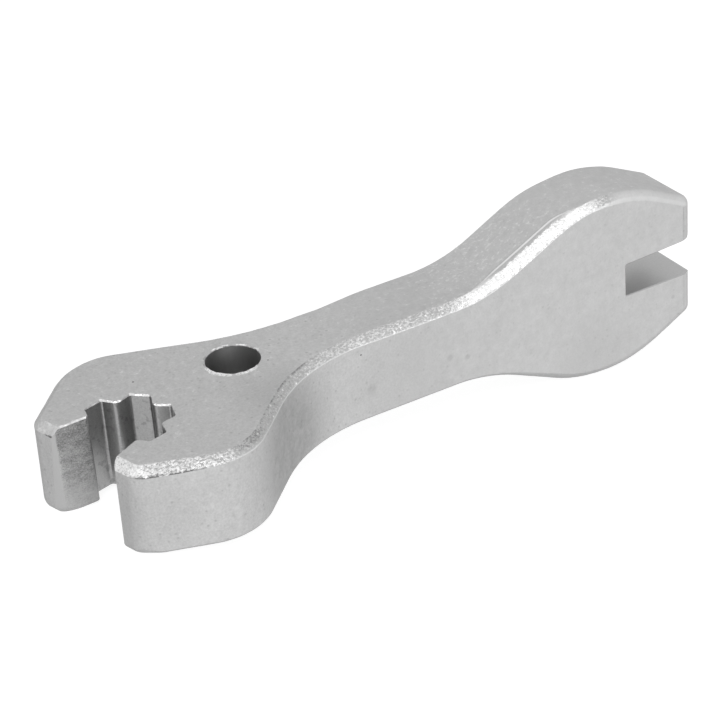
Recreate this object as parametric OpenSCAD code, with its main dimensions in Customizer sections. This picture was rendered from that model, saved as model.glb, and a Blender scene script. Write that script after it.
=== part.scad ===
// Double-ended spoke wrench, made as one forging with cut openings. X runs along the handle towards
// the slotted head, Z is square to the flats of the splined head, and the hang hole is at the origin.

/* [Handle] */
// Width of the handle, from side to side
handle_w = 7.9; // [6:0.1:10]
// Thickness of the handle and of the splined head, top to bottom
handle_t = 8.6; // [6.5:0.1:11]
// Radius of the soft edges that the blank has all round
edge_r = 0.85; // [0.3:0.05:1.1]
// Diameter of the hang hole
hang_hole_d = 4.7; // [3:0.1:5.2]

/* [Splined head] */
// Angle between the head and the handle
head_tilt = 15; // [5:1:22]
// Distance from the hang hole to the centre of the jaw
jaw_reach = 12.8; // [11:0.1:18]
// Distance that the toes reach past the centre of the jaw
toe_reach = 5; // [3.5:0.1:7]
// Half the width over both toes, to their sharp corners
toe_half = 6.65; // [5.5:0.05:8]
// Radius of the toe corners
toe_r = 2; // [1.15:0.05:2.4]
// Distance of the far shoulder behind the centre of the jaw
shoulder_far_back = 4; // [2:0.1:6]
// Distance of the near shoulder behind the centre of the jaw
shoulder_near_back = 3.1; // [2:0.1:6]
// Half the width over both shoulders, to their sharp corners
shoulder_half = 12.35; // [11:0.05:14]
// Radius of the shoulders
shoulder_r = 6.1; // [3:0.1:7]
// Angle between the back of the far shoulder and the head's own axis
heel_far_angle = 36; // [32:1:45]
// Angle between the back of the near shoulder and the head's own axis
heel_near_angle = 29; // [25:1:40]
// Radius of the long hollow from the far shoulder into the handle
heel_far_r = 24; // [10:1:30]
// Radius of the short hollow from the near shoulder into the handle
heel_near_r = 15.7; // [8:0.1:18]

/* [Splined jaw] */
// Number of lobes that the full spline has
lobes = 6; // [5:1:7]
// Diameter over the tips of the teeth
tooth_d = 6.35; // [5.8:0.05:7]
// Diameter over the corners of the lobes
lobe_d = 8.65; // [7.8:0.05:9.5]
// Width of the flat floor of a lobe
lobe_w = 1.87; // [1:0.01:2.2]
// Radius in the corners of the lobes
lobe_r = 0.3; // [0.05:0.05:0.4]
// Radius on the tips of the teeth
tooth_r = 0.3; // [0.05:0.05:0.4]
// Half the width of the mouth, level with the centre of the jaw
mouth_half = 2.75; // [2.2:0.05:2.85]
// Angle that each side of the mouth opens by
mouth_angle = 12.5; // [0:0.5:16]
// Radius of the mouth's lips on the toes
mouth_lip_r = 0.5; // [0.1:0.05:0.8]

/* [Slotted head] */
// Distance from the hang hole to the floor of the slot
slot_reach = 40.2; // [38:0.1:60]
// Depth of the slot
slot_depth = 7.75; // [5:0.05:10]
// Width of the slot
slot_w = 3.3; // [3:0.05:4.5]
// Radius of the lead-in at the mouth of the slot
slot_lead_r = 0.3; // [0.1:0.05:0.8]
// Half the height of the head, to the sharp crown
crown_half = 11.05; // [9:0.05:13]
// Radius of the crown
crown_r = 14.2; // [8:0.1:16]
// Distance from the crown back to where the flare leaves the handle
flare_l = 13.8; // [11:0.1:16]
// Radius of the hollow where the flare leaves the handle
flare_r = 15.6; // [8:0.1:20]
// Distance from the crown to the end face
nose_l = 10; // [8:0.1:13]
// Half the height of the end face, to its sharp corners
nose_half = 6.2; // [4.5:0.05:7.5]
// Radius of the corners of the end face
nose_r = 1.2; // [1.15:0.05:2]

/* [Hidden] */
// Steps in the quarter round of every soft edge
edge_steps = 5;
// Steps in the arcs of the splined head: heel, shoulder, toe
head_steps = [12, 14, 5];
// Steps in the arcs of the slotted head: flare, crown, nose
slot_head_steps = [8, 16, 5];
// Steps in the small rounds of the cuts
cut_steps = 4;
// Extra length that takes each cut clear of the surface it opens
clear = 1;
end_x = slot_reach + slot_depth;
crown_x = end_x - nose_l;
// Distance along the handle where the outlines of the two heads meet
handle_mid = (crown_x - flare_l) / 2;

function unit(v) = v / norm(v);
function turned(v, angle) =
    [v.x * cos(angle) - v.y * sin(angle), v.x * sin(angle) + v.y * cos(angle)];
function turn_between(into, away) = atan2(into.x * away.y - into.y * away.x, into * away);

// The arc of radius r that rounds the corner b between a and c. Each stop on it is given as
// [place, direction of travel].
function corner_arc(a, b, c, r, steps) =
    let (
        into = unit(b - a),
        turn = turn_between(into, unit(c - b)),
        start = b - into * r * abs(tan(turn / 2)),
        centre = start + r * sign(turn) * turned(into, 90)
    )
    [for (i = [0:steps])
        let (angle = turn * i / steps)
        [centre + turned(start - centre, angle), turned(into, angle)]];

// A closed outline from its corners, each given as [place, radius], where radius 0 is sharp
function rounded_outline(corners, steps) =
    let (n = len(corners))
    [for (i = [0:n - 1])
        let (a = corners[(i + n - 1) % n][0], b = corners[i], c = corners[(i + 1) % n][0])
        each b[1] > 0 ? [for (stop = corner_arc(a, b[0], c, b[1], steps)) stop[0]] : [b[0]]];

// One edge of a head, followed from the middle of the handle to the far end of the head, with a
// round at each corner between the first and the last. Each stop is [place, outward direction],
// and side is 1 where outward is on the left hand.
function edge_path(places, radii, steps, side) =
    let (stops = [for (i = [1:len(radii)])
        each corner_arc(places[i - 1], places[i], places[i + 1], radii[i - 1], steps[i - 1])])
    [[places[0], side * turned(stops[0][1], 90)],
     for (stop = stops) [stop[0], side * turned(stop[1], 90)]];

// A point of the splined head, along its axis from the centre of the jaw and across it
function head_point(along, across) = turned([-jaw_reach - along, across], head_tilt);

// The edge of the splined head on one side, in plan
function splined_edge(side, shoulder_back, heel_angle, heel_r) =
    let (
        shoulder = head_point(-shoulder_back, side * shoulder_half),
        back = turned([cos(heel_angle), -side * sin(heel_angle)], head_tilt),
        level = side * handle_w / 2,
        heel = shoulder + back * (level - shoulder.y) / back.y
    )
    edge_path(
        [[handle_mid, level], heel, shoulder, head_point(toe_reach, side * toe_half),
         head_point(toe_reach, 0)],
        [heel_r, shoulder_r, toe_r], head_steps, -side);

// The edge of the slotted head, above or below the slot, seen from the side
function slotted_edge(side) =
    edge_path(
        [[handle_mid, side * handle_t / 2], [crown_x - flare_l, side * handle_t / 2],
         [crown_x, side * crown_half], [end_x, side * nose_half], [end_x, 0]],
        [flare_r, crown_r, nose_r], slot_head_steps, side);

// How far a soft edge draws in from two faces that meet square, at each step from the first face
// to the second
edge_round = [for (i = [0:edge_steps])
    let (angle = 90 * i / edge_steps) edge_r * [1 - sin(angle), 1 - cos(angle)]];

// A quarter of a section: the soft edge between one edge of a head and one of its two flat faces.
// half is half the thickness between those faces.
function plan_quarter(stop, half) =
    [for (draw = edge_round)
        let (place = stop[0] - stop[1] * draw[0])
        [place.x, place.y, half - sign(half) * draw[1]]];
function side_quarter(stop, half) =
    [for (draw = edge_round)
        let (place = stop[0] - stop[1] * draw[1])
        [place.x, half - sign(half) * draw[0], place.y]];

function reversed(list) = [for (i = [len(list) - 1:-1:0]) list[i]];

// A section is one loop round the tool: its four soft edges, joined by the flats
function plan_section(far, near) =
    concat(plan_quarter(far, handle_t / 2), reversed(plan_quarter(far, -handle_t / 2)),
           plan_quarter(near, -handle_t / 2), reversed(plan_quarter(near, handle_t / 2)));
function side_section(top, bottom) =
    concat(side_quarter(top, handle_w / 2), reversed(side_quarter(bottom, handle_w / 2)),
           side_quarter(bottom, -handle_w / 2), reversed(side_quarter(top, -handle_w / 2)));

// The blank is lofted through sections from the toes of the splined head to the end face of the
// slotted one. Its two ends close with strips from one edge of the head to the other.
module blank() {
    far = splined_edge(1, shoulder_far_back, heel_far_angle, heel_far_r);
    near = splined_edge(-1, shoulder_near_back, heel_near_angle, heel_near_r);
    top = slotted_edge(1);
    bottom = slotted_edge(-1);
    sections = [
        for (i = [len(far) - 1:-1:0]) plan_section(far[i], near[i]),
        for (i = [1:len(top) - 1]) side_section(top[i], bottom[i])
    ];
    n = len(sections[0]);
    last = (len(sections) - 1) * n;
    quarter = edge_steps + 1;
    skin = [for (i = [0:len(sections) - 2], k = [0:n - 1])
        let (next = (k + 1) % n)
        [i * n + k, i * n + next, (i + 1) * n + next, (i + 1) * n + k]];
    toe_end = [for (k = [0:n / 2 - 2]) [k + 1, k, n - 1 - k, n - 2 - k]];
    nose_end = [for (k = [0:n / 2 - 2])
        [last + (quarter + k) % n, last + (quarter + k + 1) % n,
         last + (quarter - 2 - k + n) % n, last + (quarter - 1 - k + n) % n]];
    polyhedron([for (section = sections) each section], concat(skin, toe_end, nose_end));
}

// Two corners of a lobe, turned to the given angle, and the tip of the tooth after it
function lobe_corners(angle) =
    let (
        half = asin(lobe_w / lobe_d),
        tooth = angle + 180 / lobes
    )
    [
        [lobe_d / 2 * [cos(angle - half), sin(angle - half)], lobe_r],
        [lobe_d / 2 * [cos(angle + half), sin(angle + half)], lobe_r],
        [tooth_d / 2 * [cos(tooth), sin(tooth)], tooth_r]
    ];

// The spline and the mouth that opens it, with the mouth along X
module jaw_outline() {
    lip = [toe_reach, mouth_half + toe_reach * tan(mouth_angle)];
    out = lip + clear * [1, 4];
    polygon(rounded_outline(
        [for (i = [0:lobes - 1]) each lobe_corners((i + 0.5) * 360 / lobes)], cut_steps));
    polygon(rounded_outline([
        [[0, mouth_half], 0],
        [[0, -mouth_half], 0],
        [[lip.x, -lip.y], mouth_lip_r],
        [[out.x, -out.y], 0],
        [out, 0],
        [lip, mouth_lip_r]
    ], cut_steps));
}

module jaw_cut() {
    rotate([0, 0, 180 + head_tilt]) translate([jaw_reach, 0, 0])
        linear_extrude(height = handle_t + 2 * clear, center = true) jaw_outline();
}

// The slot runs through from side to side, with a rounded lead-in at each lip of the end face
module slot_cut() {
    half = slot_w / 2;
    flare = half + slot_lead_r + clear;
    rotate([90, 0, 0]) linear_extrude(height = handle_w + 2 * clear, center = true)
        polygon(rounded_outline([
            [[slot_reach, -half], 0],
            [[end_x, -half], slot_lead_r],
            [[end_x, -flare], 0],
            [[end_x + clear, -flare], 0],
            [[end_x + clear, flare], 0],
            [[end_x, flare], 0],
            [[end_x, half], slot_lead_r],
            [[slot_reach, half], 0]
        ], cut_steps));
}

module hang_hole() {
    cylinder(h = handle_t + 2 * clear, d = hang_hole_d, center = true, $fn = 64);
}

module wrench_body() {
    color("silver") difference() {
        blank();
        jaw_cut();
        slot_cut();
        hang_hole();
    }
}

wrench_body();
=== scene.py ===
"""A spoke wrench: one steel casting with a splined jaw, a hang hole and a plain slot."""

import math

import bpy
from mathutils import Matrix, Vector, noise


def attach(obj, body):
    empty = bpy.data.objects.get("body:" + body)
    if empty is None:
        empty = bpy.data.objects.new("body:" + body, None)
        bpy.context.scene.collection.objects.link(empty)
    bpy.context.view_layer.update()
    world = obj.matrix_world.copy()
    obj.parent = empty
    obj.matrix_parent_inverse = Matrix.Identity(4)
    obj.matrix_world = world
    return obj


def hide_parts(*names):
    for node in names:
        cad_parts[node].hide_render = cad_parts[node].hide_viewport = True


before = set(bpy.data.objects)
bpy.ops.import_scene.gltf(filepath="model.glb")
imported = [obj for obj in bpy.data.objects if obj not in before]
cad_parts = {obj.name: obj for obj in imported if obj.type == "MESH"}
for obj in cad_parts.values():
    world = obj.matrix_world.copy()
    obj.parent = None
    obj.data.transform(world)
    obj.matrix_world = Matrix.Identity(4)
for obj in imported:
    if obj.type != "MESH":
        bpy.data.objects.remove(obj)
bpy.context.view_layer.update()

# The casting. It is poured steel in one piece: a flat splined head that leans to one side, a
# handle of nearly square section, and a taller head set crosswise for the slot. The mould leaves
# every long edge soft and a little uneven.
MM = 0.001
handle_w = 7.9
handle_t = 8.6
head_tilt = 15
jaw_reach = 12.8
toe_reach = 5
toe_half = 6.65
toe_r = 2
toe_tip = jaw_reach + toe_reach
shoulder_half = 12.35
shoulder_r = 6.1
far_shoulder = {"side": 1, "back": 4, "heel_angle": 36, "heel_r": 24}
near_shoulder = {"side": -1, "back": 3.1, "heel_angle": 29, "heel_r": 15.7}
slot_reach = 40.2
slot_depth = 7.9
lean_start, lean_angle = 30, 1
crown_half = 10.9
crown_r = 14.2
flare_l = 13.8
flare_r = 15.6
nose_l = 10
nose_half = 6.05
nose_r = 1
end_x = slot_reach + slot_depth
crown_x = end_x - nose_l
handle_mid = (crown_x - flare_l) / 2
# The soft edge. It is wider on the near side of the slope, between these two soft limits.
soft_edge = 0.85
wide_band = 0.85
wide_from, wide_to = (22.5, 27), (32.5, 36)
# A tight bend at each face slants to the first angle, and the band between them to the second.
tight_slant, band_slant = 33, 57
tight_share, worn_share = 0.12, 0.247
bend_steps, band_steps = 5, 6
edge_steps = 2 * bend_steps + band_steps
# Low down, the tips of the toes swell between these limits across the head.
toe_swell = 0.38
swell_length = 2.6
swell_from, swell_to = (2.4, 4.8), (5, 7.4)


def turned(place, angle):
    """A direction or place in plan, turned about the origin."""
    return Matrix.Rotation(math.radians(angle), 2) @ Vector(place)


def head_place(along, across):
    """A place on the splined head, along its axis from the centre of the jaw and across it."""
    return turned((-jaw_reach - along, across), head_tilt)


def bend(before, corner, after, radius, steps):
    """The stops round one bend, each with its direction of travel."""
    into = (corner - before).normalized()
    away = (after - corner).normalized()
    turn = math.atan2(into.x * away.y - into.y * away.x, into.dot(away))
    start = corner - into * radius * abs(math.tan(turn / 2))
    centre = start + turned(into, 90) * math.copysign(radius, turn)
    angles = [math.degrees(turn) * i / steps for i in range(steps + 1)]
    return [(centre + turned(start - centre, a), turned(into, a)) for a in angles]


def head_edge(places, bends, side):
    """One edge of a head from mid-handle out, each stop with its way out of the metal.

    bends gives the radius of each bend, its steps, and the steps of the straight before it."""
    stops = []
    last = Vector(places[0])
    for i, (radius, steps, straight) in enumerate(bends):
        run = bend(Vector(places[i]), Vector(places[i + 1]), Vector(places[i + 2]), radius, steps)
        travel = run[0][1]
        first = 0 if i == 0 else 1
        stops += [(last.lerp(run[0][0], k / straight), travel) for k in range(first, straight)]
        stops += run
        last = run[-1][0]
    return [(place, turned(travel, 90 * side)) for place, travel in stops]


def splined_head_edge(shoulder):
    side = shoulder["side"]
    corner = head_place(-shoulder["back"], side * shoulder_half)
    angle = math.radians(shoulder["heel_angle"])
    back = turned((math.cos(angle), -side * math.sin(angle)), head_tilt)
    level = side * handle_w / 2
    heel = corner + back * (level - corner.y) / back.y
    places = [(handle_mid, level), heel, corner, head_place(toe_reach, side * toe_half),
              head_place(toe_reach, 0)]
    return head_edge(places, [(shoulder["heel_r"], 40, 16), (shoulder_r, 44, 8), (toe_r, 22, 16)],
                     -side)


def leaning(x, z):
    """The slotted head has cooled with a slight lean, up towards its end face."""
    return Vector((x, z + max(0, x - lean_start) * math.tan(math.radians(lean_angle))))


def slotted_head_edge(side):
    level = side * handle_t / 2
    places = [(handle_mid, level), (crown_x - flare_l, level), leaning(crown_x, side * crown_half),
              leaning(end_x, side * nose_half), leaning(end_x, 0)]
    return head_edge(places, [(flare_r, 40, 20), (crown_r, 48, 6), (nose_r, 16, 10)], side)


def eased(value, low, high):
    """0 below low, 1 above high, and a smooth rise between them."""
    share = min(max((value - low) / (high - low), 0), 1)
    return share * share * (3 - 2 * share)


def toe_end(place, length):
    """How far out a place is on the tip of a toe, from 0 to 1 over this length."""
    return eased(-turned(place, -head_tilt).x, toe_tip - length, toe_tip)


def soft_profile(x, y, z):
    """The soft edge at a place: how far it draws in from its two faces at each step.

    It is a rough sloping band between two tight bends, wide up the slope and worn to a plain round
    on the nose. The lower edges are tight, and full and round only under the tips of the toes."""
    slow = noise.noise(Vector((x, y, z)) * 0.35 + Vector((5, 1, 9)))
    quick = noise.noise(Vector((x, y, z)) * 1.7)
    worn = eased(x, 36, 40)
    spread = 1
    on_lower_face, on_far_side = z < 0, y > 0
    if on_lower_face:
        at_tip = toe_end((x, y), 1.5)
        worn = max(worn, at_tip)
        size = 0.4 + 0.6 * eased(x, 24, 33) + 0.45 * at_tip
    elif on_far_side:
        size = 1 - 0.6 * eased(x, 10, 16) * (1 - eased(x, 31, 37))
    else:
        size = 1 + 0.12 * (1 - eased(x, -14, -7))
        spread += wide_band * eased(x, *wide_from) * (1 - eased(x, *wide_to))
    radius = soft_edge * size * (1 + 0.05 * slow + 0.035 * quick + 0.2 * worn)
    tight = tight_share + worn_share * worn
    shares = [tight * i / bend_steps for i in range(bend_steps)]
    shares += [tight + (1 - 2 * tight) * i / band_steps for i in range(band_steps)]
    shares += [1 - tight * (bend_steps - i) / bend_steps for i in range(bend_steps + 1)]
    draws = [(0, 0)]
    for start, stop in zip(shares, shares[1:]):
        middle = (start + stop) / 2
        if middle < tight:
            slant = tight_slant * middle / tight
        elif middle < 1 - tight:
            slant = tight_slant + (band_slant - tight_slant) * (middle - tight) / (1 - 2 * tight)
        else:
            slant = 90 - tight_slant * (1 - middle) / tight
        step = stop - start
        draws.append((draws[-1][0] + math.cos(math.radians(slant)) * step,
                      draws[-1][1] + math.sin(math.radians(slant)) * step))
    reach = draws[-1][0]
    return [(radius * spread * (1 - inset / reach), radius * drop / reach) for inset, drop in draws]


def plan_quarter(stop, half):
    (place, out), up = stop, math.copysign(1, half)
    draws = soft_profile(place.x, place.y, half)
    if half < 0:
        across = abs(turned(place, -head_tilt).y)
        swell = toe_swell * toe_end(place, swell_length) * eased(across, *swell_from)
        swell *= 1 - eased(across, *swell_to)
        place = place + out * swell
    return [(*(place - out * inset), half - up * drop) for inset, drop in draws]


def side_quarter(stop, half):
    (place, out), up = stop, math.copysign(1, half)
    draws = soft_profile(place.x, half, place.y)
    drawn = [(place - out * drop, half - up * inset) for inset, drop in draws]
    return [(moved.x, across, moved.y) for moved, across in drawn]


def plan_section(far, near):
    half = handle_t / 2
    return (plan_quarter(far, half) + plan_quarter(far, -half)[::-1]
            + plan_quarter(near, -half) + plan_quarter(near, half)[::-1])


def side_section(top, bottom):
    half = handle_w / 2
    return (side_quarter(top, half) + side_quarter(bottom, half)[::-1]
            + side_quarter(bottom, -half) + side_quarter(top, -half)[::-1])


def new_piece(name, places, faces):
    """A mesh object from places in millimetres."""
    mesh = bpy.data.meshes.new(name)
    mesh.from_pydata([Vector(p) * MM for p in places], [], faces)
    mesh.update()
    piece = bpy.data.objects.new(name, mesh)
    bpy.context.scene.collection.objects.link(piece)
    return piece


far_edge, near_edge = splined_head_edge(far_shoulder), splined_head_edge(near_shoulder)
top_edge, bottom_edge = slotted_head_edge(1), slotted_head_edge(-1)
sections = [plan_section(f, n) for f, n in zip(far_edge[::-1], near_edge[::-1])]
sections += [side_section(t, b) for t, b in zip(top_edge[1:], bottom_edge[1:])]
loop = len(sections[0])
half_loop = loop // 2
quarter = edge_steps + 1
last = (len(sections) - 1) * loop
casting_faces = [(i * loop + (k + 1) % loop, i * loop + k, (i + 1) * loop + k,
                  (i + 1) * loop + (k + 1) % loop)
                 for i in range(len(sections) - 1) for k in range(loop)]
# The two ends close with strips from one edge of the head to the other.
casting_faces += [(k, k + 1, loop - 2 - k, loop - 1 - k) for k in range(half_loop - 1)]
casting_faces += [(last + (quarter + k + 1) % loop, last + (quarter + k) % loop,
                   last + (quarter - 1 - k) % loop, last + (quarter - 2 - k) % loop)
                  for k in range(half_loop - 1)]
wrench = new_piece("wrench", [p for section in sections for p in section], casting_faces)

# The hang hole. It is drilled through the handle beside the splined head, and the drill leaves a
# low ragged lip round it on both faces.
hang_hole_r = 2.35
# The hole is eased at its lower end, near its upper end and at its upper rim.
foot_ease, top_ease, rim_ease = 0.16, 0.14, 0.2
lip_outer_r, rim_r, lip_inner_r = 3.1, 2.56, 2.2
lip_side = math.radians(237)
lip_sunk = 0.04
face = handle_t / 2
around = 180
skin_finish, cut_finish, burr_finish, pit_finish = range(4)


def ring(radius, z):
    angles = [2 * math.pi * i / around for i in range(around)]
    return [(radius * math.cos(a), radius * math.sin(a), z) for a in angles]


def solid_through(name, rings, finishes):
    """A closed solid through rings of places, one above the other, with flat ends.

    finishes gives the finish of each band between two rings."""
    n = len(rings[0])
    sides = [(i * n + k, i * n + (k + 1) % n, (i + 1) * n + (k + 1) % n, (i + 1) * n + k)
             for i in range(len(rings) - 1) for k in range(n)]
    top = (len(rings) - 1) * n
    ends = [tuple(range(n - 1, -1, -1)), tuple(range(top, top + n))]
    solid = new_piece(name, [p for r in rings for p in r], sides + ends)
    bands = [finish for finish in finishes for k in range(n)]
    solid.data.polygons.foreach_set("material_index", bands + [finishes[0], finishes[-1]])
    return solid


def ragged(place, seed, size):
    """A wander between about -1 and 1 for torn edges."""
    return 2 * noise.noise(Vector(place) * size + Vector((seed, 0, 0)))


def torn_ring(radius, z, wander):
    places = []
    for x, y, _ in ring(radius, z):
        grown = 1 + wander * ragged((x, y, 0), 3, 2.2) / radius
        places.append((x * grown, y * grown, z))
    return places


def lip_ring(width, height):
    """A ring of the lip: full on one side of the hole, low across from it, broken between them."""
    places = []
    for x, y, _ in ring(1, 0):
        towards = x * math.cos(lip_side) + y * math.sin(lip_side)
        full = eased(abs(towards), 0.3, 0.9) * (1 if towards > 0 else 0.55)
        left = 0.05 + 0.95 * full + 0.8 * ragged((x, y, 0), 4, 3.4)
        radius = rim_r + width * (0.4 + 0.6 * full) + 0.05 * ragged((x, y, 0), 5, 6)
        places.append((x * radius, y * radius, face - lip_sunk + height * min(max(left, 0), 1)))
    return places


lip_rings = [ring(lip_outer_r, face - 0.4), lip_ring(0.42, 0.01), lip_ring(0.22, 0.11),
             lip_ring(0.04, 0.12), ring(lip_inner_r, face - lip_sunk)]
lip_finishes = [skin_finish] + [burr_finish] * 3
lips = [solid_through("lip_top", lip_rings, lip_finishes),
        solid_through("lip_bottom", [[(x, y, -z) for x, y, z in r] for r in lip_rings[::-1]],
                      lip_finishes[::-1])]
hole_cut = solid_through("hole_cut", [
    ring(hang_hole_r + foot_ease, -face - 0.15), ring(hang_hole_r, -face + 0.1),
    ring(hang_hole_r + top_ease, face - 0.07), torn_ring(hang_hole_r + rim_ease, face + 0.1, 0.04)],
    [cut_finish, cut_finish, burr_finish])

# The splined jaw. It is broached through the splined head: square lobes round a circle, pointed
# teeth between them, and a mouth that opens towards the toes. The broach turns a fine edge, painted
# bright as a highlight where it faces the front.
lobes = 6
pitch = 360 / lobes
tooth_d = 6.35
lobe_d = 8.65
lobe_w = 1.87
lobe_r = 0.3
tooth_r = 0.62
mouth_half = 2.75
mouth_angle = 12.5
mouth_corner_r = 0.45
far_lip_r, near_lip_r = 0.5, 1.2
# Near the lower face the lips of the mouth round off more and more: each height has its radius.
low_lips = ((-0.05, 4.0), (0.25, 3.0), (0.65, 2.3))
burr_w, burr_h, burr_foot = 0.27, 0.05, 0.12
# The side the broach leaned to, facing the front: there the burr is full and painted bright as a
# highlight.
burr_and_highlight_side = Vector((-0.5, -0.86))
burr_step = 0.16


def on_circle(diameter, angle):
    return turned((diameter / 2, 0), angle)


def rounded(corners, steps=8):
    """A closed outline from corners, each with its radius; radius 0 stays sharp."""
    outline = []
    for i, (corner, radius) in enumerate(corners):
        before, after = corners[i - 1][0], corners[(i + 1) % len(corners)][0]
        if radius:
            outline += [place for place, _ in bend(before, corner, after, radius, steps)]
        else:
            outline.append(corner)
    return outline


def widened(outline, gap):
    """A closed outline that runs anticlockwise, moved outwards by the gap."""
    moved = []
    for i, place in enumerate(outline):
        into = (place - outline[i - 1]).normalized()
        away = (outline[(i + 1) % len(outline)] - place).normalized()
        out = turned(into + away, -90).normalized()
        moved.append(place + out * gap / out.dot(turned(into, -90)))
    return moved


def mirrored(corner):
    place, radius = corner
    return Vector((place.x, -place.y)), radius


lobe_spread = math.degrees(math.asin(lobe_w / lobe_d))
mouth_spread = math.tan(math.radians(mouth_angle))
# The side of the mouth runs into the flank between the first tooth and its lobe.
tooth_tip = on_circle(tooth_d, 90 - pitch / 2)
flank = on_circle(lobe_d, 90 - lobe_spread) - tooth_tip
flank_share = ((mouth_half + tooth_tip.x * mouth_spread - tooth_tip.y)
               / (flank.y - flank.x * mouth_spread))
# The mouth takes the place of two lobes.
spline = []
for k in range(lobes - 2):
    angle = 90 + pitch * k
    spline += [(on_circle(lobe_d, angle - lobe_spread), lobe_r),
               (on_circle(lobe_d, angle + lobe_spread), lobe_r),
               (on_circle(tooth_d, angle + pitch / 2), tooth_r)]


def mouth_side(lip_r, reach):
    lip = Vector((reach, mouth_half + reach * mouth_spread))
    return [(lip + Vector((1, 4)), 0), (lip, lip_r),
            (tooth_tip + flank * flank_share, mouth_corner_r)]


def jaw_line(far_r, near_r, reach):
    near_side = [mirrored(corner) for corner in mouth_side(far_r, reach)]
    return rounded(mouth_side(near_r, reach) + spline[:-1] + near_side[::-1])


top_line = jaw_line(far_lip_r, near_lip_r, toe_reach)


def jaw_ring(walls, gap, z):
    """The jaw's outline at one height, in fine steps, torn by the burr where it widens.

    The broach leaned, so the burr is full on one side of the jaw and almost none on the other."""
    rim = widened(walls, gap)
    places = []
    for i, start in enumerate(top_line):
        after = (i + 1) % len(walls)
        steps = max(1, round((top_line[after] - start).length / burr_step))
        for k in range(steps):
            wall = walls[i].lerp(walls[after], k / steps)
            edge = rim[i].lerp(rim[after], k / steps)
            tear = 1 + 0.45 * ragged((wall.x, wall.y, z), 7, 3.1)
            if gap:
                inward = turned((edge - wall).normalized(), head_tilt)
                tear *= 0.2 + 0.8 * eased(inward.dot(burr_and_highlight_side), 0.66, 0.9)
            place = wall + (edge - wall) * tear
            places.append((*head_place(place.x, -place.y), z))
    return places


low_rings = [jaw_ring(jaw_line(radius, radius, toe_reach + toe_swell), 0, height - face)
             for height, radius in low_lips]
jaw_cut = solid_through("jaw_cut", low_rings + [
    jaw_ring(top_line, 0, face - burr_foot), jaw_ring(top_line, burr_w, face + burr_h)],
    [cut_finish] * 3 + [burr_finish])

# The plain slot. It is milled straight through the crosswise head from side to side. It opens a
# little towards its mouth, and each lip has a small round.
slot_w = 3.3
upper_mouth, lower_mouth = 1.84, 1.76
slot_corner_r = 0.14
slot_bevel = 0.09


def slot_line(upper_r, lower_r):
    """The slot seen from the side, its two lips rounded by these radii."""
    flare, outside, beyond = 4.5, end_x + 0.02, end_x + 1
    corners = [((slot_reach, -slot_w / 2), slot_corner_r), ((end_x, -lower_mouth), lower_r),
               ((outside, -flare), 0), ((beyond, -flare), 0), ((beyond, flare), 0),
               ((outside, flare), 0), ((end_x, upper_mouth), upper_r),
               ((slot_reach, slot_w / 2), slot_corner_r)]
    return rounded([(leaning(*place), radius) for place, radius in corners])


def slot_ring(outline, gap, y):
    return [(p.x, y, p.y) for p in widened(outline, gap)]


wall = handle_w / 2
past = 0.05
near_slot, far_slot = slot_line(1.3, 0.35), slot_line(0.6, 0.1)
slot_cut = solid_through("slot_cut", [
    slot_ring(far_slot, slot_bevel + past, wall + past),
    slot_ring(far_slot, 0, wall - slot_bevel),
    slot_ring(near_slot, 0, slot_bevel - wall),
    slot_ring(near_slot, slot_bevel + past, -wall - past)],
    [cut_finish] * 3)

# The pinholes. Gas in the pour leaves a few small round pits in the skin: two in the upper face
# and one in the near wall of the handle.
pinholes = (((-8.88, 2.04, 4.36), 0.12), ((2.43, -2.04, 4.36), 0.1), ((10.77, -4.0, 2.66), 0.1))


def pinhole(centre, radius, rows=8, columns=14):
    rings = []
    for i in range(1, rows):
        a = math.pi * i / rows
        ring_r = radius * math.sin(a)
        rings.append([(centre[0] + ring_r * math.cos(2 * math.pi * k / columns),
                       centre[1] + ring_r * math.sin(2 * math.pi * k / columns),
                       centre[2] - radius * math.cos(a)) for k in range(columns)])
    return solid_through("pinhole", rings, [pit_finish] * (len(rings) - 1))


pits = [pinhole(centre, radius) for centre, radius in pinholes]

# The finished tool. The openings are cut in the casting after it has cooled, so each face takes the
# finish of what made it: the mould's skin, a cutter, the burr that it turned up, or a gas pit.
finishes = [bpy.data.materials.new(name) for name in
            ("cast_skin", "cut_metal", "burr_metal", "pinhole_inside")]
skin, cut_metal, burr_metal, pinhole_inside = finishes
sharp_from = 28


def cut_with(tools, operation):
    for tool in tools:
        step = wrench.modifiers.new(tool.name, "BOOLEAN")
        step.object = tool
        step.operation = operation
        step.solver = "MANIFOLD"


for piece in [wrench, hole_cut, jaw_cut, slot_cut] + lips + pits:
    for finish in finishes:
        piece.data.materials.append(finish)
cut_with(lips, "UNION")
cut_with([hole_cut, jaw_cut, slot_cut] + pits, "DIFFERENCE")
whole = bpy.data.meshes.new_from_object(wrench.evaluated_get(bpy.context.evaluated_depsgraph_get()))
wrench.modifiers.clear()
wrench.data = whole
for piece in [hole_cut, jaw_cut, slot_cut] + lips + pits:
    bpy.data.objects.remove(piece)
whole.shade_smooth()
whole.set_sharp_from_angle(angle=math.radians(sharp_from))
shading = wrench.modifiers.new("even_shading", "WEIGHTED_NORMAL")
shading.keep_sharp = True
shading.weight = 80
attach(wrench, "root")
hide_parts("wrench_body")


# The cast skin. The tool is dull grey steel, blasted and plated: a fine grain with cloudy patches
# and dark specks. Its soft edges are torn and bright, like crushed foil, and a painted highlight
# adds to their white.
def feed(tree, made, inputs):
    """Each input gets a plain value, or the output socket that feeds it."""
    for name, value in inputs.items():
        if isinstance(value, bpy.types.NodeSocket):
            tree.links.new(value, made.inputs[name])
        else:
            made.inputs[name].default_value = value


def node(tree, kind, inputs=None, **settings):
    made = tree.nodes.new(kind)
    for name, value in settings.items():
        setattr(made, name, value)
    feed(tree, made, inputs or {})
    return made


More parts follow.
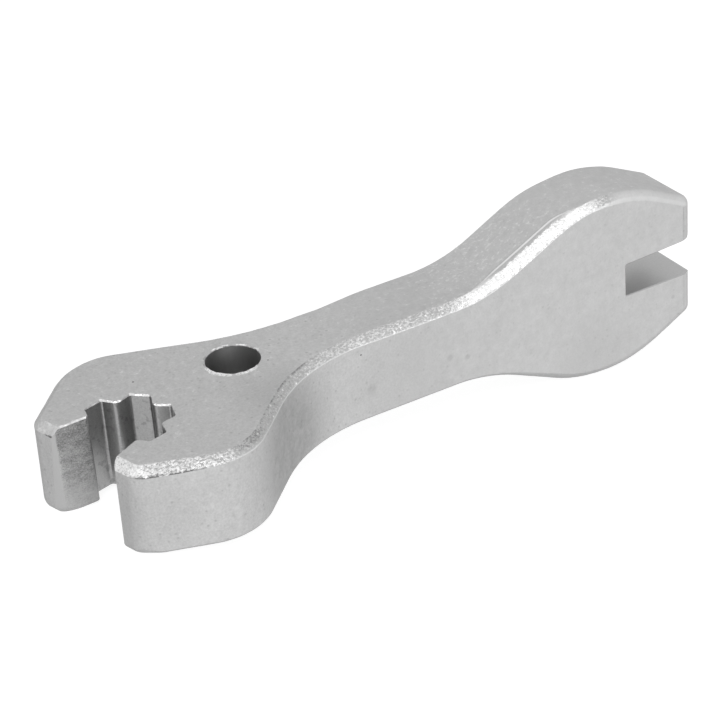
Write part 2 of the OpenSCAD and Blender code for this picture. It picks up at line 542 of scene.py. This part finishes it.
def sums(tree, operation, first, second=0.0, third=0.0, clamp=False):
    made = node(tree, "ShaderNodeMath", {0: first, 1: second, 2: third}, operation=operation)
    made.use_clamp = clamp
    return made.outputs[0]


def times(tree, *factors):
    product = factors[0]
    for factor in factors[1:]:
        product = sums(tree, "MULTIPLY", product, factor)
    return product


def plus(tree, value, *parts):
    """The value with more added for each part: where the part is 1, its whole amount."""
    for part, amount in parts:
        value = sums(tree, "MULTIPLY_ADD", part, amount, value)
    return value


def toned(tree, value, *parts):
    """The value made lighter or darker by each part's share of it."""
    return times(tree, value, *[plus(tree, 1.0, part) for part in parts])


def without(tree, part):
    return sums(tree, "SUBTRACT", 1.0, part)


def blend(tree, share, first, second):
    return node(tree, "ShaderNodeMix", {0: share, 2: first, 3: second}).outputs[0]


def grey(tree, value):
    return node(tree, "ShaderNodeCombineColor", {0: value, 1: value, 2: value}).outputs[0]


def vectors(tree, operation, inputs):
    made = node(tree, "ShaderNodeVectorMath", inputs, operation=operation)
    return made.outputs["Value" if operation in ("DISTANCE", "LENGTH", "DOT_PRODUCT") else "Vector"]


def stretched(tree, places, factors):
    return vectors(tree, "MULTIPLY", {0: places, 1: factors})


def x_y_z(tree, vector):
    return node(tree, "ShaderNodeSeparateXYZ", {0: vector}).outputs


def spots(tree, places, scale, detail=2.0, rough=0.5):
    return node(tree, "ShaderNodeTexNoise",
                {"Vector": places, "Scale": scale, "Detail": detail, "Roughness": rough}
                ).outputs["Fac"]


def swayed(tree, value, pattern, width):
    """The value, pushed up and down by a pattern over this width."""
    return sums(tree, "ADD", value, sums(tree, "MULTIPLY_ADD", pattern, width, -width / 2))


def facets_of(tree, places, scale):
    """Random facets: a vector and a number for each, and how far a place is from its middle."""
    made = node(tree, "ShaderNodeTexVoronoi", {"Vector": places, "Scale": scale})
    return made.outputs["Color"], x_y_z(tree, made.outputs["Color"])[0], made.outputs["Distance"]


def rise(tree, value, low, high):
    return node(tree, "ShaderNodeMapRange", {"Value": value, "From Min": low, "From Max": high},
                interpolation_type="SMOOTHSTEP").outputs["Result"]


def fall(tree, value, low, high):
    return node(tree, "ShaderNodeMapRange",
                {"Value": value, "From Min": low, "From Max": high, "To Min": 1.0, "To Max": 0.0},
                interpolation_type="SMOOTHSTEP").outputs["Result"]


def span(tree, value, start, end):
    """1 between a soft start and a soft end, each given by its two limits."""
    return times(tree, rise(tree, value, *start), fall(tree, value, *end))


def bumps(tree, pattern, strength, depth, on_top_of=None):
    inputs = {"Height": pattern, "Strength": strength, "Distance": depth * MM}
    if on_top_of is not None:
        inputs["Normal"] = on_top_of
    return node(tree, "ShaderNodeBump", inputs).outputs[0]


def tilted(tree, normal, facets, amount):
    """The surface's direction, tilted at random in each facet."""
    off = vectors(tree, "SCALE", {
        0: vectors(tree, "SUBTRACT", {0: facets, 1: (0.5, 0.5, 0.5)}), "Scale": amount})
    return vectors(tree, "NORMALIZE", {0: vectors(tree, "ADD", {0: normal, 1: off})})


def start_finish(material):
    """The finish's tree, its shader, and places on the tool in millimetres."""
    material.use_nodes = True
    tree = material.node_tree
    tree.nodes.clear()
    shader = node(tree, "ShaderNodeBsdfPrincipled")
    node(tree, "ShaderNodeOutputMaterial", {"Surface": shader.outputs[0]})
    spot = node(tree, "ShaderNodeTexCoord").outputs["Object"]
    return tree, shader, vectors(tree, "SCALE", {0: spot, "Scale": 1 / MM})


# The regions of the skin, told by how far along the tool and how far beside its middle they are.
tree, shader, places = start_finish(skin)
along, beside, _ = x_y_z(tree, places)
facing = x_y_z(tree, node(tree, "ShaderNodeTexCoord").outputs["Normal"])
on_toes = fall(tree, along, -8.5, -6)
on_tips = fall(tree, along, -15.5, -13.5)
on_near_tip = times(tree, on_tips, fall(tree, beside, -6, -4))
on_far_tip = times(tree, on_tips, rise(tree, beside, -6, -4))
on_heel = span(tree, along, (-7.5, -6), (3.0, 5.5))
on_neck = span(tree, along, (-3.5, -1), (4.5, 7))
on_flank = span(tree, along, (17, 23), (31, 35))
on_slope = span(tree, along, (19.5, 24), (35, 38.5))
worn_nose = rise(tree, along, 37.8, 41)

# How far the surface turns over a soft edge: 0 on the upper face, 1 on the wall, from either head.
on_slotted = sums(tree, "GREATER_THAN", along, handle_mid)
from_top = sums(tree, "ARCCOSINE", sums(tree, "ABSOLUTE", facing[2], clamp=True))
from_side = sums(tree, "ARCSINE", sums(tree, "ABSOLUTE", facing[1], clamp=True))
turn = sums(tree, "MULTIPLY", blend(tree, on_slotted, from_top, from_side), 2 / math.pi)
frayed = swayed(tree, turn, spots(tree, places, 3.5, 3.0, 0.6), 0.3)
upward = rise(tree, facing[2], -0.02, 0.05)
torn = times(tree, upward, rise(tree, frayed, 0.14, 0.24), fall(tree, turn, 0.8, 0.9))

# Up the slope the band is wide: a thin ridge on top with a painted highlight, a groove darkened
# with painted shade, then the torn metal.
on_wide = times(tree, span(tree, along, wide_from, wide_to), sums(tree, "LESS_THAN", beside, 0.0))
band_w = plus(tree, soft_edge, (on_wide, wide_band * soft_edge))
inset = sums(tree, "DIVIDE",
             sums(tree, "SUBTRACT", handle_w / 2, sums(tree, "ABSOLUTE", beside)), band_w)
uneven = swayed(tree, inset, spots(tree, places, 2.6, 4.0, 0.65), 0.5)
groove_shade = times(tree, on_wide, rise(tree, uneven, 0.62, 0.74), fall(tree, inset, 1.05, 1.15))
ridge_highlight = times(tree, on_wide, span(tree, inset, (0.86, 0.92), (1.0, 1.06)))
# The far edge of the toes isn't torn.
far_toe = times(tree, on_toes, rise(tree, facing[1], 0.0, 0.3))
torn = times(tree, torn, without(tree, groove_shade), without(tree, far_toe),
             blend(tree, on_slope, 1.0, rise(tree, uneven, 0.0, 0.1)))

# The plain skin, with its specks, glints and stains, painted light along the tool and patches of
# painted shade.
clouds = spots(tree, places, 0.3, 4.0, 0.6)
patches = spots(tree, places, 1.4, 3.0, 0.55)
grain = spots(tree, places, 5.0, 3.0, 0.6)
rough_skin = plus(tree, 0.12, (fall(tree, along, 4, 22), 0.14))
# The rise along the tool is painted light: the skin grows lighter from the splined head towards the
# slotted head.
shade = plus(tree, 0.315, (clouds, 0.06), (rise(tree, along, -16, 36), 0.105), (patches, 0.13),
             (grain, rough_skin))
_, speck_kind, speck_reach = facets_of(tree, places, 1.5)
specks = times(tree, rough_skin, rise(tree, speck_kind, 0.35, 0.6),
               fall(tree, speck_reach, 0.08, 0.26))
glints = times(tree, rise(tree, spots(tree, places, 3.0, 3.0, 0.6), 0.5, 0.72),
               rise(tree, plus(tree, patches, (on_flank, 0.16)), 0.52, 0.66),
               rise(tree, facing[2], 0.3, 0.6), fall(tree, turn, 0.1, 0.2))
shade = plus(tree, toned(tree, shade, (specks, -0.75)), (glints, 0.15))
# Each dark patch's place, size and depth. The four wide ones are painted shade: in the hollow of
# the near heel, on the near toe, along the neck and low on the slotted head. The four small ones
# are stains.
stains_and_shade = (((0.8, -7.8, -1.0), 8.5, 0.3), ((-14.0, -9.5, -1.0), 6.0, 0.06),
          ((14.0, -3.95, -0.5), 7.0, 0.06), ((36.0, -3.95, -7.0), 6.0, 0.06),
          ((11.6, -3.95, -1.2), 0.75, 0.12), ((20.1, -3.95, -1.0), 0.5, 0.12),
          ((22.0, -3.95, -1.6), 0.4, 0.14), ((45.77, -3.95, -3.5), 0.3, 0.14))
for place, size, depth in stains_and_shade:
    away = vectors(tree, "DISTANCE", {0: places, 1: place})
    stain_and_shade = times(tree, fall(tree, away, size * 0.3, size), patches)
    shade = toned(tree, shade, (stain_and_shade, -2 * depth))

# The torn band: white flakes on grey. Their white is partly the torn metal's own and partly a
# painted highlight: fewest at the heel, which faces away from the lamps, and closest together and
# whitest up the slope and at the near tip, where the lamps shine back.
facets, facet, _ = facets_of(tree, places, 4.5)
streaks = spots(tree, stretched(tree, places, (0.75, 1, 1.2)), 5.2, 4.0, 0.68)
crowd = plus(tree, streaks, (on_toes, 0.03), (on_heel, -0.07), (on_slope, 0.2),
             (worn_nose, -0.2), (on_near_tip, 0.09))
flakes_and_highlight = rise(tree, crowd, 0.43, 0.62)
bed = plus(tree, 0.4, (on_heel, 0.02), (on_toes, -0.06), (worn_nose, 0.2), (on_far_tip, 0.18),
           (facet, 0.06))
flake_and_highlight_shade = plus(tree, 0.69, (on_slope, 0.17), (on_toes, -0.05), (on_near_tip, 0.16))
# The heel is pocked above the band's middle, and most of all towards the toes.
pock_crowd = plus(tree, spots(tree, places, 4.6, 4.0, 0.7), (fall(tree, along, -4.5, -2.5), 0.1))
pocks = times(tree, on_heel, fall(tree, turn, 0.5, 0.6), rise(tree, pock_crowd, 0.54, 0.64))
# Along the neck the band's upper edge carries a dark thin line of painted shade, and a few big
# flakes below it are painted white as glints.
upper_edge_shade = times(tree, on_neck, span(tree, turn, (0.06, 0.14), (0.36, 0.42)),
               rise(tree, spots(tree, places, 1.8, 3.0, 0.65), 0.36, 0.52))
torn_and_highlight_shade = toned(tree, blend(tree, flakes_and_highlight, bed, flake_and_highlight_shade), (pocks, -0.45), (upper_edge_shade, -0.42))
_, big_kind, big_reach = facets_of(tree, places, 1.7)
big_flakes_and_glints = times(tree, on_neck, rise(tree, turn, 0.38, 0.42), rise(tree, big_kind, 0.45, 0.6),
                   fall(tree, big_reach, 0.1, 0.24))
torn_and_highlight_shade = blend(tree, big_flakes_and_glints, torn_and_highlight_shade, 0.95)
tear = toned(tree, torn, (worn_nose, -0.7))
colour = blend(tree, tear, shade, torn_and_highlight_shade)

# Lines along the band: a painted highlight on the crest at its foot, painted shade in the groove, a
# painted highlight on the ridge, and on the toes a dark crack line that is painted shadow under the
# band.
crest_highlight = times(tree, upward, span(tree, turn, (0.6, 0.7), (0.88, 0.94)), without(tree, on_toes))
crest_highlight = toned(tree, crest_highlight, (worn_nose, -0.6))
colour = blend(tree, times(tree, crest_highlight, 0.6), colour, 0.8)
colour = toned(tree, colour, (times(tree, upward, groove_shade), -0.2))
colour = blend(tree, times(tree, upward, ridge_highlight, 0.9), colour, 0.9)
crack_shadow_zone = sums(tree, "MAXIMUM", span(tree, along, (-16.2, -14.8), (-12, -8)),
               times(tree, on_far_tip, fall(tree, beside, -0.3, 0.4)))
crack_shadow = times(tree, upward, crack_shadow_zone, rise(tree, frayed, 0.58, 0.68), fall(tree, turn, 0.9, 0.94),
              rise(tree, spots(tree, places, 2.2, 3.0, 0.6), 0.38, 0.48))
colour = blend(tree, times(tree, crack_shadow, 0.85), colour, 0.05)

shiny = times(tree, tear, flakes_and_highlight)
skin_bump = bumps(tree, grain, 0.5, 0.03)
torn_bump = bumps(tree, streaks, times(tree, tear, 0.7), 0.12, skin_bump)
feed(tree, shader, {
    "Base Color": grey(tree, colour),
    "Metallic": blend(tree, shiny, 0.1, 0.5),
    "Specular IOR Level": 0.35,
    "Roughness": blend(tree, tear, plus(tree, 0.44, (grain, 0.12)), plus(tree, 0.3, (facet, 0.2))),
    "Normal": tilted(tree, torn_bump, facets, times(tree, shiny, 0.3))})

# The cut metal. The cutters leave it bare: smooth and dark in the hole and the lobes, where the
# walls mirror each other, and torn by the tool in the jaw's mouth. Painted shade darkens the hole,
# the lobes and the mouth further, and painted light makes the slot paler.
tree, shader, places = start_finish(cut_metal)
along, _, height = x_y_z(tree, places)
plan = stretched(tree, places, (1, 1, 0))
jaw_centre = head_place(0, 0)
outwards = head_place(1, 0) - jaw_centre
out_along = sums(tree, "SUBTRACT", vectors(tree, "DOT_PRODUCT", {0: plan, 1: (*outwards, 0)}),
                 jaw_reach)
from_jaw = vectors(tree, "DISTANCE", {0: plan, 1: (*jaw_centre, 0)})
jaw_back = -8.0
in_jaw = sums(tree, "LESS_THAN", along, jaw_back)
in_mouth = rise(tree, out_along, 1.15, 1.5)
in_lobes = times(tree, in_jaw, fall(tree, out_along, 1.15, 1.5))
at_lip = times(tree, in_jaw, rise(tree, from_jaw, 5.9, 6.15))
in_hole = fall(tree, vectors(tree, "LENGTH", {0: plan}), 2.5, 2.9)
in_slot = sums(tree, "GREATER_THAN", along, handle_mid)
scores = spots(tree, stretched(tree, places, (1, 1, 0.12)), 5.0, 3.0, 0.6)
fine = spots(tree, stretched(tree, places, (1, 1, 1.6)), 6.0, 3.0, 0.7)
blots = times(tree, in_lobes, rise(tree, spots(tree, places, 1.6, 2.0, 0.5), 0.56, 0.68))
# The mouth's walls are torn over their upper two thirds, and plainer and paler below.
low_down = fall(tree, height, -3.0, 0.3)
strokes = spots(tree, stretched(tree, places, (0.5, 0.5, 1.4)), 1.3, 4.0, 0.65)
marks = times(tree, plus(tree, -0.61, (strokes, 0.5), (fine, 0.72)),
              plus(tree, 1.1, (low_down, -0.7)))
marks = plus(tree, marks, (low_down, 0.03))
shade = plus(tree, 0.3, (scores, 0.08), (fine, plus(tree, 0.08, (in_lobes, 0.22))),
             (in_mouth, marks), (in_lobes, -0.11))
# Painted shade in the hole, the lobes and the mouth, and painted light in the slot.
shade = toned(tree, shade, (blots, -0.24), (in_hole, -0.25), (in_slot, 0.08), (in_mouth, -0.14),
              (in_lobes, -0.1))
feed(tree, shader, {
    "Base Color": grey(tree, blend(tree, at_lip, shade, 0.45)),
    "Metallic": plus(tree, 0.95, (at_lip, -0.85)),
    "Roughness": plus(tree, 0.25, (fine, 0.15), (in_mouth, 0.22), (in_hole, 0.15)),
    "Normal": bumps(tree, fine, plus(tree, 0.3, (in_mouth, 0.5)), 0.03)})

# The burrs. Thin metal is turned up at the rims: in the jaw on the side that the broach leaned to,
# and round the hole on two sides across from each other. Where a burr faces the front and the lamps
# it is painted bright and metallic as a highlight, and elsewhere it is dull grey.
tree, shader, places = start_finish(burr_metal)
facets, facet, _ = facets_of(tree, places, 7.0)
direction = node(tree, "ShaderNodeNewGeometry").outputs["Normal"]
level = vectors(tree, "NORMALIZE", {0: stretched(tree, direction, (1, 1, 0))})
jaw_highlight = rise(tree, vectors(tree, "DOT_PRODUCT", {0: level, 1: (*burr_and_highlight_side, 0)}), 0.62, 0.85)
across_lip = vectors(tree, "DOT_PRODUCT", {0: places, 1: (-0.22, -0.32, 0)})
hole_highlight = rise(tree, sums(tree, "ABSOLUTE", across_lip), 0.3, 0.75)
at_hole = sums(tree, "GREATER_THAN", x_y_z(tree, places)[0], jaw_back)
# The bright part is a painted highlight, on the burrs that face the front.
bright = blend(tree, at_hole, jaw_highlight, hole_highlight)
feed(tree, shader, {
    "Base Color": grey(tree, blend(tree, bright, 0.4, plus(tree, 0.55, (facet, 0.35)))),
    "Metallic": plus(tree, 0.1, (bright, 0.8)),
    "Roughness": 0.35,
    "Normal": tilted(tree, direction, facets, 0.5)})

# The inside of the pinholes: dark and dull.
tree, shader, places = start_finish(pinhole_inside)
feed(tree, shader, {
    "Base Color": grey(tree, plus(tree, 0.08, (spots(tree, places, 9.0), 0.2))),
    "Metallic": 0.2,
    "Roughness": 0.8})

# The table. A plain white sheet that the wrench lies on: the lower crown of the slotted head and
# the toes of the splined head touch it, so it meets the tool at a slight angle.
crown_foot, toe_foot = Vector((37.4, -9.2)), Vector((-17.6, -4.3))
table_slope = (toe_foot - crown_foot).normalized()
table_reach = 3000
table_gap = 0.05
table_mesh = bpy.data.meshes.new("table")
corners = []
for run, aside in ((1, -1), (1, 1), (-1, 1), (-1, -1)):
    foot = crown_foot - table_slope * run * table_reach
    corners.append(Vector((foot.x, aside * table_reach, foot.y - table_gap)) * MM)
table_mesh.from_pydata(corners, [], [(0, 1, 2, 3)])
table = bpy.data.objects.new("table", table_mesh)
bpy.context.scene.collection.objects.link(table)
white_sheet = bpy.data.materials.new("white_sheet")
white_sheet.use_nodes = True
tree = white_sheet.node_tree
tree.nodes.clear()


def seen_rays(tree):
    rays = node(tree, "ShaderNodeLightPath").outputs
    return sums(tree, "MAXIMUM", rays["Is Camera Ray"],
                sums(tree, "MAXIMUM", rays["Is Glossy Ray"], rays["Is Transmission Ray"]))


paper = node(tree, "ShaderNodeBsdfDiffuse", {"Color": (0.3, 0.3, 0.3, 1)})
glow = node(tree, "ShaderNodeEmission",
            {"Color": (1, 1, 1, 1), "Strength": times(tree, seen_rays(tree), 0.9)})
both = node(tree, "ShaderNodeAddShader", {0: paper.outputs[0], 1: glow.outputs[0]})
node(tree, "ShaderNodeOutputMaterial", {"Surface": both.outputs[0]})
table_mesh.materials.append(white_sheet)

# The studio. One soft lamp stands low in front of the tool, a second hangs high on the left, and
# the room round them is evenly white.
scene = bpy.context.scene
scene.view_settings.view_transform = "Standard"
room = bpy.data.worlds.new("room")
scene.world = room
room.use_nodes = True
tree = room.node_tree
tree.nodes.clear()
strength = sums(tree, "MULTIPLY_ADD", seen_rays(tree), 0.62, 0.38)
sky = node(tree, "ShaderNodeBackground", {"Color": (1, 1, 1, 1), "Strength": strength})
node(tree, "ShaderNodeOutputWorld", {"Surface": sky.outputs[0]})

aim = Vector((15, -2, 0)) * MM
lamp_distance = 1.0
for name, size, energy, lamp_way in (
        ("front_lamp", 0.5, 5.6, Vector((-0.14, -0.95, 0.25))),
        ("high_lamp", 0.4, 2.9, Vector((-0.48, -0.42, 0.77)))):
    lamp = bpy.data.lights.new(name, "AREA")
    lamp.shape = "DISK"
    lamp.size = size
    lamp.energy = energy
    holder = bpy.data.objects.new(name, lamp)
    scene.collection.objects.link(holder)
    lamp_way.normalize()
    holder.location = aim + lamp_way * lamp_distance
    holder.rotation_mode = "QUATERNION"
    holder.rotation_quaternion = lamp_way.to_track_quat("Z", "Y")

camera_place = Vector((-81.688, -168.478, 111.808))
camera_turn = (59.7657, 3.9067, -31.5708)
camera = bpy.data.cameras.new("camera")
camera.lens = 122.006
camera.sensor_width = 36
camera.clip_start, camera.clip_end = 0.01, 10
viewer = bpy.data.objects.new("camera", camera)
scene.collection.objects.link(viewer)
viewer.location = camera_place * MM
viewer.rotation_euler = [math.radians(angle) for angle in camera_turn]
scene.camera = viewer
